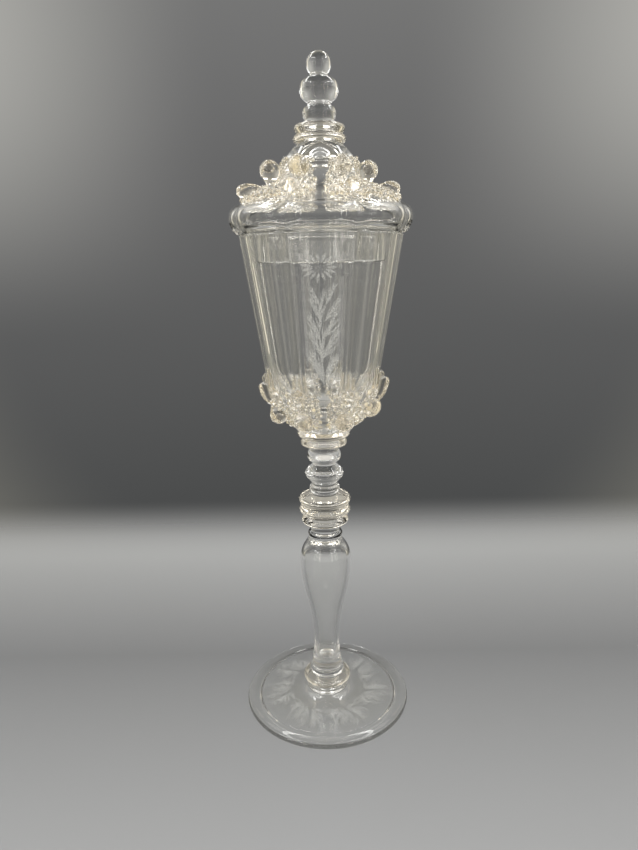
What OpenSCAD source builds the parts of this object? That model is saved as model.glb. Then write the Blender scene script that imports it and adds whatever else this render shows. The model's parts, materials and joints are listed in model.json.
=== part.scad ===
// Covered glass goblet: a footed stem of hot-joined gathers, a lobed bowl and a loose lobed cover.
// Millimetres, +Z up. The origin is on the table, on the axis of the goblet.

/* [Foot] */
// Radius of the foot over its folded rim
foot_r = 62; // [50:0.5:75]
// Height of the foot at the pad that carries the stem
foot_h = 14.5; // [13:0.5:20]
// Radius of the pad on top of the foot
foot_pad_r = 14.4; // [13:0.1:15]
// Radius of the hollow curve from the pad down to the disc
foot_cove_r = 8; // [5:0.25:8.5]
// Thickness of the blown disc
foot_t = 2.6; // [1.8:0.1:3.5]
// Width of the folded rim
welt_w = 9; // [6:0.5:14]
// Thickness of the folded rim
welt_t = 4.4; // [3:0.1:6]
// Height of the hollow under the middle of the foot
kick_h = 8; // [3:0.5:9]

/* [Stem base] */
// Radius of the cushion on the foot
cushion_r = 18; // [17.6:0.2:24]
// Height of the cushion
cushion_h = 6.3; // [5.8:0.1:12]
// Roundness of the cushion's edge
cushion_edge = 2.4; // [1.5:0.1:2.5]
// Radius where the cushion meets the button
cushion_top_r = 12; // [9:0.25:12.5]
// Radius of the button
button_r = 12.8; // [12.6:0.2:17]
// Height of the button
button_h = 7.2; // [5:0.1:14]

/* [Baluster] */
// Radius at the foot of the baluster
baluster_foot_r = 11.3; // [10:0.1:12.4]
// Height of the flare at the foot of the baluster
baluster_flare_h = 22; // [14:1:34]
// Radius of the waist
baluster_waist_r = 9.3; // [8:0.1:9.8]
// Height from the waist to the belly
baluster_rise_h = 67; // [50:1:90]
// Radius of the belly
baluster_belly_r = 18.7; // [15:0.1:24]
// Height of the shoulder above the belly
baluster_shoulder_h = 17; // [12:0.5:24]
// Radius at the top of the shoulder
baluster_top_r = 12; // [10:0.1:12.3]
// Glass wall round the sealed hollow
baluster_wall = 3; // [2:0.1:5]
// Solid glass below and above the sealed hollow
baluster_plug = 3.5; // [2:0.5:8]

/* [Stem wafers and knops] */
// Height of the straight collar at each end of a rounded knop
knop_collar_h = 1.2; // [0.5:0.1:1.6]
// Radius of the ring at the foot of the neck
neck_ring_r = 12.6; // [12.4:0.1:16]
// Height of that ring
neck_ring_h = 4.5; // [3:0.25:7]
// Radius of the neck
neck_r = 10.5; // [8:0.1:12]
// Height of the neck above the ring
neck_h = 4.5; // [2:0.25:9]
// Roundness of the edge of every wafer
merese_edge = 2.2; // [1.2:0.1:2.6]
// Radius of the lowest wafer
merese_low_r = 17; // [16.2:0.1:21]
// Height of the lowest wafer
merese_low_h = 8.5; // [6:0.25:12]
// Radius of the groove above the lowest wafer
groove_low_r = 15.6; // [12:0.1:16]
// Radius of the middle wafer
merese_mid_r = 18.6; // [17.8:0.1:23]
// Height of the middle wafer
merese_mid_h = 7.4; // [6:0.2:10]
// Radius of the groove above the middle wafer
groove_top_r = 17; // [13:0.1:17.5]
// Radius of the top wafer
merese_top_r = 18.8; // [17.8:0.1:23]
// Height of the top wafer
merese_top_h = 8.1; // [6:0.1:12]
// Radius under the lowest knop
knop_low_foot_r = 9.6; // [7:0.1:10.5]
// Radius of the lowest knop
knop_low_r = 11; // [10.6:0.1:15]
// Height of the lowest knop
knop_low_h = 8.5; // [6:0.25:13]
// Radius between the lowest and middle knops
knop_mid_foot_r = 9; // [6.5:0.1:10]
// Radius of the middle knop
knop_mid_r = 13.9; // [11:0.1:18]
// Height of the middle knop
knop_mid_h = 14; // [10:0.25:20]
// Roundness of the middle knop's edge
knop_mid_edge = 3.8; // [2.5:0.1:4.5]
// Radius between the middle and top knops
knop_top_foot_r = 8.4; // [6:0.1:9.8]
// Radius of the top knop
knop_top_r = 12; // [10.5:0.1:16]
// Height of the top knop
knop_top_h = 12.5; // [9:0.25:18]
// Radius between the top knop and the wafers under the bowl
knop_head_r = 9.6; // [7:0.1:10]

/* [Bowl] */
// Radius of the lower wafer under the bowl
bowl_merese_low_r = 16.3; // [15.8:0.1:21]
// Height of the lower wafer under the bowl
bowl_merese_low_h = 7; // [6:0.25:10]
// Radius of the groove between the wafers under the bowl
bowl_groove_r = 15.2; // [12:0.1:15.6]
// Radius of the upper wafer under the bowl
bowl_merese_top_r = 18.3; // [17.5:0.1:23]
// Height of the upper wafer under the bowl
bowl_merese_top_h = 6; // [5.9:0.1:9]
// Radius of the bowl's base on its wafer
bowl_base_r = 16.8; // [14:0.1:17.2]
// Height of the bowl
bowl_h = 130; // [110:1:160]
// Radius of the mouth, over the lobes
rim_r = 53.5; // [49:0.5:62]
// Height of the rounded cup at the bottom of the bowl
cup_h = 41; // [34:0.5:48]
// Radius at the top of that cup, over the lobes
cup_r = 39.2; // [36:0.2:43]
// Thickness of the bowl's wall
bowl_wall = 2.5; // [1.8:0.1:3.5]
// Solid glass at the bottom of the bowl
bowl_floor_t = 12; // [8:0.5:18]
// Roundness of the floor inside the bowl
bowl_floor_round = 60; // [45:1:90]
// Number of lobes round the bowl and the cover
lobes = 8; // [6:1:10]
// Depth of the creases between the lobes of the bowl, at the mouth
crease_depth = 2; // [1:0.1:3]
// Width of those creases at the mouth
crease_w = 13; // [8:0.5:18]
// Height above the cup at which the creases have died out
crease_fade_h = 3; // [2:0.5:20]

/* [Cover] */
// How far the flat seat reaches beyond the bowl's mouth
seat_margin = 1; // [0.5:0.1:2]
// How far the rolled rim stands out beyond the seat
roll_overhang = 4.8; // [3:0.1:8]
// Height of the roll's widest line above the seat
roll_h = 10; // [7:0.25:14]
// Roundness of the roll's upper side
roll_round = 8.5; // [6:0.25:10]
// Depth of the pinches between the lobes of the roll
pinch_depth = 2.2; // [1:0.1:3]
// Width of those pinches
pinch_w = 15; // [8:0.5:20]
// Radius where the shoulder starts under the dome
shoulder_r = 32; // [29:0.5:36]
// Height of the shoulder there
shoulder_h = 26; // [22:0.5:28]
// Radius of the dome
dome_r = 27; // [23:0.25:28.5]
// Height of the dome's widest line above the seat
dome_foot_h = 31; // [30:0.25:35]
// Radius of the hollow curve from the dome to the shoulder
dome_cove_r = 9; // [6:0.5:12]
// Height of the cover without its wafers and finial
lid_h = 54.5; // [49:0.5:64]
// Radius at the top of the dome
dome_top_r = 13.8; // [11:0.1:14.6]
// Thickness of the cover's wall
lid_wall = 2.4; // [1.8:0.1:3.2]
// Solid glass at the top of the dome
dome_cap_t = 5; // [3:0.5:9]
// Clearance between the flange and the ridges inside the bowl
flange_gap = 3.3; // [1:0.25:5]
// Depth of the flange below the seat
flange_h = 17.3; // [8:0.5:26]
// Thickness of the flange
flange_t = 2.4; // [1.8:0.1:3.2]

/* [Finial] */
// Radius of the lower wafer on the cover
lid_merese_low_r = 16.9; // [15.8:0.1:21]
// Height of the lower wafer on the cover
lid_merese_low_h = 5.4; // [5.3:0.1:8]
// Radius of the groove between the wafers on the cover
lid_groove_r = 14.1; // [11:0.1:14.8]
// Radius of the upper wafer on the cover
lid_merese_top_r = 16.1; // [15.6:0.1:21]
// Height of the upper wafer on the cover
lid_merese_top_h = 6.6; // [5.4:0.1:9]
// Radius under the lower knop of the finial
finial_foot_r = 8.7; // [6:0.1:10]
// Radius of the lower knop
finial_low_r = 10.7; // [10.2:0.1:14]
// Height of the lower knop
finial_low_h = 10.7; // [10.2:0.1:16]
// Radius between the knops
finial_neck_r = 7.3; // [5:0.1:9.5]
// Radius of the middle knop
finial_mid_r = 12.3; // [10.5:0.1:16]
// Height of the middle knop
finial_mid_h = 16.1; // [15.6:0.1:20]
// Radius under the ball
ball_neck_r = 5.8; // [4:0.1:6.6]
// Height of the neck under the ball
ball_neck_h = 1; // [0.5:0.25:4]
// Radius of the ball
ball_r = 7.7; // [7:0.1:10]

/* [Applied trails] */
// Height of a bowl trail's pad above the bowl's base
bowl_pad_h = 16; // [13:0.5:19]
// Height of that trail's second pad, further up the cup
bowl_mass_h = 25; // [22:0.5:30]
// How far the ball of a bowl trail stands out from its pad
bowl_ball_out = 4.7; // [3:0.1:7]
// How far that ball hangs below the pad
bowl_ball_down = 4; // [2:0.1:6]
// Radius of that ball
bowl_ball_r = 6.3; // [5:0.1:7.5]
// How far the drop of a bowl trail stands out from its pad
bowl_drop_out = 12.8; // [11:0.1:16]
// How far that drop rises above the pad
bowl_drop_up = 15.5; // [12:0.5:20]
// Roundness of that drop's end
bowl_drop_r = 3.4; // [2.4:0.1:4.2]
// Height of a cover trail's pad above the seat
lid_pad_h = 33; // [32:0.5:36]
// Radius at which that trail's second pad sits on the shoulder
lid_mass_r = 38; // [36:0.5:41]
// How far the ball of a cover trail stands out from its pad
lid_ball_out = 6.7; // [5:0.1:9]
// How far that ball rises above the pad
lid_ball_up = 5.6; // [4:0.1:9]
// Radius of that ball
lid_ball_r = 6.1; // [5:0.1:7.5]
// How far the drop of a cover trail stands out from its pad
lid_drop_out = 22; // [19:0.1:25]
// How far that drop falls below the pad
lid_drop_down = 7; // [4:0.25:8]
// Roundness of that drop's end
lid_drop_r = 4.2; // [3:0.1:4.8]
// Radius of the thin root of a ball or a drop
trail_root_r = 2.4; // [1.5:0.1:2.8]
// Roundness of a trail's pad
trail_pad_r = 11; // [8:0.25:13]
// How far the middle of a pad lies inside the wall it sits on
trail_pad_sink = 6.5; // [4:0.25:8]
// Roundness of a trail's second pad
trail_mass_r = 9.4; // [7:0.2:11]
// How far the middle of a second pad lies inside the wall
trail_mass_sink = 5.5; // [4:0.25:7]
// Roundness of the two lumps beside a second pad
trail_lump_r = 6.6; // [5.5:0.1:7.2]
// How far the middle of a lump lies inside the wall
trail_lump_sink = 4.4; // [3.5:0.1:5]
// Distance of the lumps from the middle of a trail
trail_lump_out = 7.2; // [5:0.1:8]
// Height above the bowl's base where the fingers of a bowl trail end
finger_top_h = 44; // [42:0.5:46]
// Radius of a finger at its end
finger_r = 1.3; // [1:0.1:1.8]
// Distance of the two fingers from the middle of a trail
finger_out = 5; // [3:0.1:6.5]

/* [Hidden] */
$fn = 96;
stem_names = [
    "foot", "foot_cushion", "stem_button", "baluster", "stem_neck",
    "stem_merese_low", "stem_merese_mid", "stem_merese_top",
    "stem_knop_low", "stem_knop_mid", "stem_knop_top",
    "bowl_merese_low", "bowl_merese_top", "bowl"
];
lid_names = [
    "lid", "lid_merese_low", "lid_merese_top",
    "finial_knop_low", "finial_knop_mid", "finial_ball"
];
glass = [0.87, 0.87, 0.83, 0.55];
thick_glass = [0.86, 0.83, 0.75, 0.7];

// Heights at which each piece stands on the one below
cushion_z = foot_h;
button_z = cushion_z + cushion_h;
baluster_z = button_z + button_h;
waist_z = baluster_flare_h;
belly_z = waist_z + baluster_rise_h;
baluster_h = belly_z + baluster_shoulder_h;
neck_z = baluster_z + baluster_h;
merese_low_z = neck_z + neck_ring_h + neck_h;
merese_mid_z = merese_low_z + merese_low_h;
merese_top_z = merese_mid_z + merese_mid_h;
knop_low_z = merese_top_z + merese_top_h;
knop_mid_z = knop_low_z + knop_low_h;
knop_top_z = knop_mid_z + knop_mid_h;
bowl_merese_low_z = knop_top_z + knop_top_h;
bowl_merese_top_z = bowl_merese_low_z + bowl_merese_low_h;
bowl_z = bowl_merese_top_z + bowl_merese_top_h;
seat_z = bowl_z + bowl_h;
lid_merese_low_z = seat_z + lid_h;
lid_merese_top_z = lid_merese_low_z + lid_merese_low_h;
finial_low_z = lid_merese_top_z + lid_merese_top_h;
finial_mid_z = finial_low_z + finial_low_h;
ball_z = finial_mid_z + finial_mid_h;

// Radius of the arc that swells by a bulge over a height, upright at its widest line
function arc_r(bulge, h) = (bulge * bulge + h * h) / (2 * bulge);

// Point where a line from p touches a circle that it leaves on its right
function touch(p, c, r) =
    let (d = c - p, l = norm(d), a = atan2(d[1], d[0]) + asin(r / l))
    p + sqrt(l * l - r * r) * [cos(a), sin(a)];

// Bowl: a straight wall that leans out, on a cup whose arc runs into the wall without a corner
wall_slope = (rim_r - cup_r) / (bowl_h - cup_h);
wall_lean = atan(wall_slope);
cup_lean = atan2(cup_r - bowl_base_r, cup_h);
cup_arc_r = norm([cup_r - bowl_base_r, cup_h]) / (2 * sin(cup_lean - wall_lean));
cup_centre = [cup_r - cup_arc_r * cos(wall_lean), cup_h + cup_arc_r * sin(wall_lean)];
crease_r = arc_r(crease_depth, crease_w / 2);
function crease_angle(i) = 360 * (i - 0.5) / lobes - 90;

// Cover: it follows the mouth of the bowl
seat_r = rim_r + seat_margin;
roll_r = seat_r + roll_overhang;
roll_centre = [roll_r - roll_round, roll_h];
pinch_r = arc_r(pinch_depth, pinch_w / 2);
flange_r = rim_r - flange_h * wall_slope - bowl_wall - crease_depth - flange_gap;
dome_h = lid_h - dome_foot_h;

// Trails: the points on the cup and on the dome where their pads sit
function on_cup(h) = [cup_centre[0] + sqrt(pow(cup_arc_r, 2) - pow(h - cup_centre[1], 2)), h];
bowl_root = on_cup(bowl_pad_h);
bowl_mass = on_cup(bowl_mass_h);
finger_tip = [cup_r + (finger_top_h - cup_h) * wall_slope, finger_top_h];
finger_turn = finger_out / bowl_mass[0] * 180 / PI;
dome_arc_r = arc_r(dome_r - dome_top_r, dome_h);
lid_root = [
    dome_r - dome_arc_r + sqrt(pow(dome_arc_r, 2) - pow(lid_pad_h - dome_foot_h, 2)),
    lid_pad_h
];
shoulder_end = touch([shoulder_r, shoulder_h], roll_centre, roll_round);
shoulder_fall = (shoulder_h - shoulder_end[1]) / (shoulder_end[0] - shoulder_r);
lid_mass = [lid_mass_r, shoulder_h - (lid_mass_r - shoulder_r) * shoulder_fall];

// Half of a turned swelling: r at its widest line, narrowing to end_r over the height h
module swell(r, end_r, h) {
    arc = arc_r(r - end_r, h);
    intersection() {
        translate([r - arc, 0]) circle(arc);
        square([r, h]);
    }
    square([end_r, h]);
}

// A gather turned to a bead: two swellings that share their widest line, between straight collars
module bead(r, foot_r, top_r, h) {
    rise = h / 2 - knop_collar_h;
    rotate_extrude() {
        translate([0, h / 2]) swell(r, top_r, rise);
        translate([0, h / 2]) mirror([0, 1]) swell(r, foot_r, rise);
        translate([0, h / 2]) square([top_r, h / 2]);
        square([foot_r, h / 2]);
    }
}

// Half of a wafer: a rounded edge at r, and a face that slopes to end_r over the height h
module slope(r, edge, end_r, h) {
    centre = [r - edge, 0];
    intersection() {
        translate(centre) circle(edge);
        square([r, h]);
    }
    polygon([[0, 0], centre, touch([end_r, h], centre, edge), [end_r, h], [0, h]]);
}

// A gather pressed to a wafer: two sloping faces that share their rounded edge
module wafer(r, edge, foot_r, top_r, h) {
    rotate_extrude() {
        translate([0, h / 2]) slope(r, edge, top_r, h / 2);
        translate([0, h / 2]) mirror([0, 1]) slope(r, edge, foot_r, h / 2);
    }
}

// The foot: a shallow cone that sweeps up to the pad, with its rim folded under
module foot() {
    edge = [foot_r - welt_t / 2, welt_t];
    cove_centre = [foot_pad_r + foot_cove_r, foot_h];
    cove_foot = touch(edge, cove_centre, foot_cove_r);
    run = (cove_foot - edge) / norm(cove_foot - edge);
    inset = foot_t * [-run[1], run[0]];
    color(glass) rotate_extrude() {
        difference() {
            polygon([[0, 0], [edge[0], 0], edge, cove_foot, cove_centre, [0, foot_h]]);
            translate(cove_centre) circle(foot_cove_r);
            difference() {
                intersection() {
                    square([foot_r - welt_w, kick_h]);
                    polygon([[0, 0], [edge[0], 0], edge + inset, cove_foot + inset, cove_centre, [0, foot_h]]);
                }
                translate(cove_centre) circle(foot_cove_r + foot_t);
            }
        }
        translate([edge[0], welt_t / 2]) circle(welt_t / 2);
    }
}

module foot_cushion() {
    color(thick_glass) translate([0, 0, cushion_z])
        wafer(cushion_r, cushion_edge, foot_pad_r, cushion_top_r, cushion_h);
}

module stem_button() {
    color(glass) translate([0, 0, button_z]) bead(button_r, cushion_top_r, baluster_foot_r, button_h);
}

// Outline of the baluster from its foot to its shoulder, drawn in by a wall
module baluster_outline(wall, shoulder_h, top_r) {
    foot_r = baluster_foot_r - wall;
    waist_r = baluster_waist_r - wall;
    belly_r = baluster_belly_r - wall;
    middle_r = (waist_r + belly_r) / 2;
    flare = arc_r(foot_r - waist_r, baluster_flare_h);
    ogee = arc_r(middle_r - waist_r, baluster_rise_h / 2);
    difference() {
        square([foot_r, waist_z]);
        translate([waist_r + flare, waist_z]) circle(flare);
    }
    translate([0, waist_z]) difference() {
        square([middle_r, baluster_rise_h / 2]);
        translate([waist_r + ogee, 0]) circle(ogee);
    }
    translate([0, belly_z]) mirror([0, 1]) swell(belly_r, middle_r, baluster_rise_h / 2);
    translate([0, belly_z]) swell(belly_r, top_r, shoulder_h);
}

// The baluster: a hollow stem with its bubble of air sealed in
module baluster() {
    hollow_r = baluster_waist_r - baluster_wall;
    hollow_z = baluster_plug + hollow_r;
    color(glass) translate([0, 0, baluster_z]) rotate_extrude() {
        difference() {
            baluster_outline(0, baluster_shoulder_h, baluster_top_r);
            intersection() {
                baluster_outline(baluster_wall, baluster_shoulder_h - baluster_plug, hollow_r);
                union() {
                    translate([0, hollow_z]) circle(hollow_r);
                    translate([0, hollow_z]) square([baluster_belly_r, baluster_h]);
                }
            }
        }
    }
}

// The neck: a ring with a straight throat above it
module stem_neck() {
    color(glass) translate([0, 0, neck_z]) rotate_extrude() {
        translate([0, neck_ring_h / 2]) swell(neck_ring_r, neck_r, neck_ring_h / 2);
        translate([0, neck_ring_h / 2]) mirror([0, 1]) swell(neck_ring_r, baluster_top_r, neck_ring_h / 2);
        translate([0, neck_ring_h]) square([neck_r, neck_h]);
    }
}

module stem_merese_low() {
    color(thick_glass) translate([0, 0, merese_low_z])
        wafer(merese_low_r, merese_edge, neck_r, groove_low_r, merese_low_h);
}

module stem_merese_mid() {
    color(thick_glass) translate([0, 0, merese_mid_z])
        wafer(merese_mid_r, merese_edge, groove_low_r, groove_top_r, merese_mid_h);
}

module stem_merese_top() {
    color(thick_glass) translate([0, 0, merese_top_z])
        wafer(merese_top_r, merese_edge, groove_top_r, knop_low_foot_r, merese_top_h);
}

module stem_knop_low() {
    color(glass) translate([0, 0, knop_low_z])
        bead(knop_low_r, knop_low_foot_r, knop_mid_foot_r, knop_low_h);
}

module stem_knop_mid() {
    color(glass) translate([0, 0, knop_mid_z])
        wafer(knop_mid_r, knop_mid_edge, knop_mid_foot_r, knop_top_foot_r, knop_mid_h);
}

module stem_knop_top() {
    color(glass) translate([0, 0, knop_top_z])
        bead(knop_top_r, knop_top_foot_r, knop_head_r, knop_top_h);
}

module bowl_merese_low() {
    color(thick_glass) translate([0, 0, bowl_merese_low_z])
        wafer(bowl_merese_low_r, merese_edge, knop_head_r, bowl_groove_r, bowl_merese_low_h);
}

module bowl_merese_top() {
    color(thick_glass) translate([0, 0, bowl_merese_top_z])
        wafer(bowl_merese_top_r, merese_edge, bowl_groove_r, bowl_base_r, bowl_merese_top_h);
}

// Outline of the bowl above its base, drawn in by a wall and open to a height
module bowl_outline(wall, top) {
    bend = [cup_r, cup_h] + wall * [-cos(wall_lean), sin(wall_lean)];
    intersection() {
        translate(cup_centre) circle(cup_arc_r - wall);
        square([cup_r, bend[1]]);
    }
    polygon([[0, bend[1]], bend, [bend[0] + (top - bend[1]) * wall_slope, top], [0, top]]);
}

// Round rods that press the creases into the wall, deepest at the mouth
module crease_rods(wall) {
    fade_h = cup_h + crease_fade_h;
    tilt = atan(crease_depth * cos(wall_lean) / (bowl_h - fade_h));
    for (i = [1 : lobes]) {
        rotate(crease_angle(i)) translate([cup_r + crease_fade_h * wall_slope, 0, fade_h])
            rotate([0, wall_lean, 0]) translate([crease_r, 0, 0]) rotate([0, -tilt, 0])
                translate([0, 0, -crease_r]) cylinder(h = 2 * bowl_h, r = crease_r + wall);
    }
}

// The hollow stands above the mouth, so that the bowl is open
module bowl_hollow() {
    difference() {
        rotate_extrude() intersection() {
            bowl_outline(bowl_wall, bowl_h + bowl_wall);
            union() {
                translate([0, bowl_floor_t + bowl_floor_round]) circle(bowl_floor_round);
                translate([0, bowl_floor_t + bowl_floor_round]) square([rim_r, bowl_h]);
            }
        }
        crease_rods(bowl_wall);
    }
}

// The bowl: eight lobes over a rounded cup
module bowl() {
    color(glass) translate([0, 0, bowl_z]) difference() {
        rotate_extrude() bowl_outline(0, bowl_h);
        crease_rods(0);
        bowl_hollow();
    }
}

// Outline of the cover above its seat, drawn in by a wall, up to a height
module lid_outline(wall, top) {
    lean = atan2(shoulder_h - roll_h, roll_r - shoulder_r);
    shoulder = [shoulder_r, shoulder_h - wall / cos(lean)];
    roll_top = touch(shoulder, roll_centre, roll_round - wall);
    cove_centre = [dome_r + dome_cove_r, dome_foot_h];
    translate([0, roll_h]) mirror([0, 1]) swell(roll_r - wall, seat_r - wall, roll_h - wall);
    translate(roll_centre) circle(roll_round - wall);
    polygon([[0, roll_h], roll_centre, roll_top, shoulder, [0, shoulder[1]]]);
    translate([0, dome_foot_h]) swell(dome_r - wall, dome_top_r - wall, top - dome_foot_h);
    translate([0, roll_h]) difference() {
        square([dome_r + dome_cove_r, dome_foot_h - roll_h]);
        translate(cove_centre - [0, roll_h]) circle(dome_cove_r + wall);
    }
}

// Upright rods that pinch the rolled rim between its lobes
module pinch_rods(wall) {
    for (i = [1 : lobes]) {
        rotate(crease_angle(i)) translate([roll_r + pinch_r - pinch_depth, 0, -lid_h])
            cylinder(h = 3 * lid_h, r = pinch_r + wall);
    }
}

// The flange that drops into the bowl, with a fire-rounded lower edge
module flange_outline() {
    edge = flange_t / 2;
    translate([flange_r - edge, edge - flange_h]) circle(edge);
    translate([flange_r - flange_t, edge - flange_h]) square([flange_t, flange_h - edge]);
}

// The cover: a hollow dome and rolled rim over the flange
module lid() {
    bore_r = flange_r - flange_t;
    color(glass) translate([0, 0, seat_z]) {
        difference() {
            rotate_extrude() lid_outline(0, lid_h);
            pinch_rods(0);
            difference() {
                rotate_extrude() lid_outline(lid_wall, lid_h - dome_cap_t);
                pinch_rods(lid_wall);
            }
            translate([0, 0, -lid_wall]) cylinder(h = 2 * lid_wall + roll_h, r = bore_r);
        }
        rotate_extrude() flange_outline();
    }
}

// A drop of glass drawn out from p to q, in the upright plane of a trail
module drop(p, q, p_r, q_r) {
    along = q - p;
    length = norm(along);
    lean = asin((q_r - p_r) / length);
    translate([p[0], 0, p[1]]) rotate([0, atan2(along[0], along[1]), 0]) rotate_extrude() {
        intersection() {
            union() {
                circle(p_r);
                translate([0, length]) circle(q_r);
                polygon([
                    [0, -p_r * sin(lean)],
                    [p_r * cos(lean), -p_r * sin(lean)],
                    [q_r * cos(lean), length - q_r * sin(lean)],
                    [0, length - q_r * sin(lean)]
                ]);
            }
            translate([0, -p_r]) square([max(p_r, q_r), length + p_r + q_r]);
        }
    }
}

// A round pad of glass in the upright plane of a trail
module pad(centre, r) {
    translate([centre[0], 0, centre[1]]) sphere(r);
}

// A pincered trail: a pad with a ball and a drop drawn out of it, and a second pad between two lumps
module trail(root, mass, sink, ball, ball_r, tip, tip_r) {
    pad(root - [trail_pad_sink, 0], trail_pad_r);
    pad(mass + trail_mass_sink * sink, trail_mass_r);
    for (hand = [-1, 1]) {
        rotate(hand * trail_lump_out / mass[0] * 180 / PI) pad(mass + trail_lump_sink * sink, trail_lump_r);
    }
    drop(root, root + ball, trail_root_r, ball_r);
    drop(root, root + tip, trail_root_r, tip_r);
}

module bowl_trail(i) {
    color(thick_glass) translate([0, 0, bowl_z]) difference() {
        rotate(crease_angle(i)) {
            trail(
                bowl_root, bowl_mass, [-1, 0],
                [bowl_ball_out, -bowl_ball_down], bowl_ball_r,
                [bowl_drop_out, bowl_drop_up], bowl_drop_r
            );
            for (hand = [-1, 1]) {
                rotate(hand * finger_turn) drop(bowl_mass, finger_tip, trail_root_r, finger_r);
            }
        }
        rotate_extrude() bowl_outline(0, bowl_h);
    }
}

module lid_trail(i) {
    color(thick_glass) translate([0, 0, seat_z]) difference() {
        rotate(crease_angle(i)) trail(
            lid_root, lid_mass, [0, -1],
            [lid_ball_out, lid_ball_up], lid_ball_r,
            [lid_drop_out, -lid_drop_down], lid_drop_r
        );
        rotate_extrude() lid_outline(0, lid_h);
    }
}

module lid_merese_low() {
    color(thick_glass) translate([0, 0, lid_merese_low_z])
        wafer(lid_merese_low_r, merese_edge, dome_top_r, lid_groove_r, lid_merese_low_h);
}

module lid_merese_top() {
    color(thick_glass) translate([0, 0, lid_merese_top_z])
        wafer(lid_merese_top_r, merese_edge, lid_groove_r, finial_foot_r, lid_merese_top_h);
}

module finial_knop_low() {
    color(glass) translate([0, 0, finial_low_z])
        bead(finial_low_r, finial_foot_r, finial_neck_r, finial_low_h);
}

module finial_knop_mid() {
    color(glass) translate([0, 0, finial_mid_z])
        bead(finial_mid_r, finial_neck_r, ball_neck_r, finial_mid_h);
}

// The ball on top, with its short neck
module finial_ball() {
    rise = ball_neck_h + sqrt(ball_r * ball_r - ball_neck_r * ball_neck_r);
    color(glass) translate([0, 0, ball_z]) rotate_extrude() {
        square([ball_neck_r, rise]);
        intersection() {
            translate([0, rise]) circle(ball_r);
            translate([0, ball_neck_h]) square([ball_r, rise + ball_r]);
        }
    }
}

foot();
foot_cushion();
stem_button();
baluster();
stem_neck();
stem_merese_low();
stem_merese_mid();
stem_merese_top();
stem_knop_low();
stem_knop_mid();
stem_knop_top();
bowl_merese_low();
bowl_merese_top();
bowl();
lid();
lid_merese_low();
lid_merese_top();
finial_knop_low();
finial_knop_mid();
finial_ball();
for (i = [1 : lobes]) {
    bowl_trail(i);
    lid_trail(i);
}
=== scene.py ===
import json
import math

import bmesh
import bpy
import numpy as np
from mathutils import Matrix, Vector
from mathutils.bvhtree import BVHTree


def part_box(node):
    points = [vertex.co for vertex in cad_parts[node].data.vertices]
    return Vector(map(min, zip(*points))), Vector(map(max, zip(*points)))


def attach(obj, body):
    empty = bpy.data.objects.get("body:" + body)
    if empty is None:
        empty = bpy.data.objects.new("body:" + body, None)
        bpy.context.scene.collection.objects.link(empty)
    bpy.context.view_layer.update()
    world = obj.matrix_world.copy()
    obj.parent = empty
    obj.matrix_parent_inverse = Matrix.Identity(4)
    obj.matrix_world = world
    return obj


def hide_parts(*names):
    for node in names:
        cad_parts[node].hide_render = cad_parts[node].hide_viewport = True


# A tall covered goblet of clear blown glass.
# Sizes are in millimetres; a mesh is turned into metres when it is made.
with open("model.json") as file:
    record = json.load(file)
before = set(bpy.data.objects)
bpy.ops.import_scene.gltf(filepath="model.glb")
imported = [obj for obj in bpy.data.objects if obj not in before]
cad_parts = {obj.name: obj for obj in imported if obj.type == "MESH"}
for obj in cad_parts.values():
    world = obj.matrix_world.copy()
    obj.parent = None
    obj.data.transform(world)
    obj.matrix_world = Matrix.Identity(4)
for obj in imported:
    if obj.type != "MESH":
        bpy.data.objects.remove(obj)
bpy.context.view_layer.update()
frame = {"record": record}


# Foot
# A disc of clear blown glass, opened and spun flat while hot, with its rim folded under into a round welt.
# The goblet stands on the flat of that welt, and a scar in the middle underneath is where the iron broke off.
MM = 0.001
ON_AXIS = 1e-6
BODY_OF = {n: body for body, nodes in frame["record"]["behaviour"]["bodies"].items() for n in nodes}


def linear(hex_colour):
    """Linear RGBA of an sRGB hex colour."""
    channels = [int(hex_colour[i:i + 2], 16) / 255 for i in (1, 3, 5)]
    return [c / 12.92 if c <= 0.04045 else ((c + 0.055) / 1.055) ** 2.4 for c in channels] + [1.0]


def node(tree, kind, inputs=None, **settings):
    """Adds a shader node with its settings; its inputs, by name or number, take values or sockets."""
    made = tree.nodes.new(kind)
    for name, value in settings.items():
        setattr(made, name, value)
    for name, value in (inputs or {}).items():
        if isinstance(value, bpy.types.NodeSocket):
            tree.links.new(value, made.inputs[name])
        else:
            made.inputs[name].default_value = value
    return made


def new_material(name):
    """An empty node material."""
    material = bpy.data.materials.new(name)
    material.use_nodes = True
    material.node_tree.nodes.clear()
    return material, material.node_tree


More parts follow.
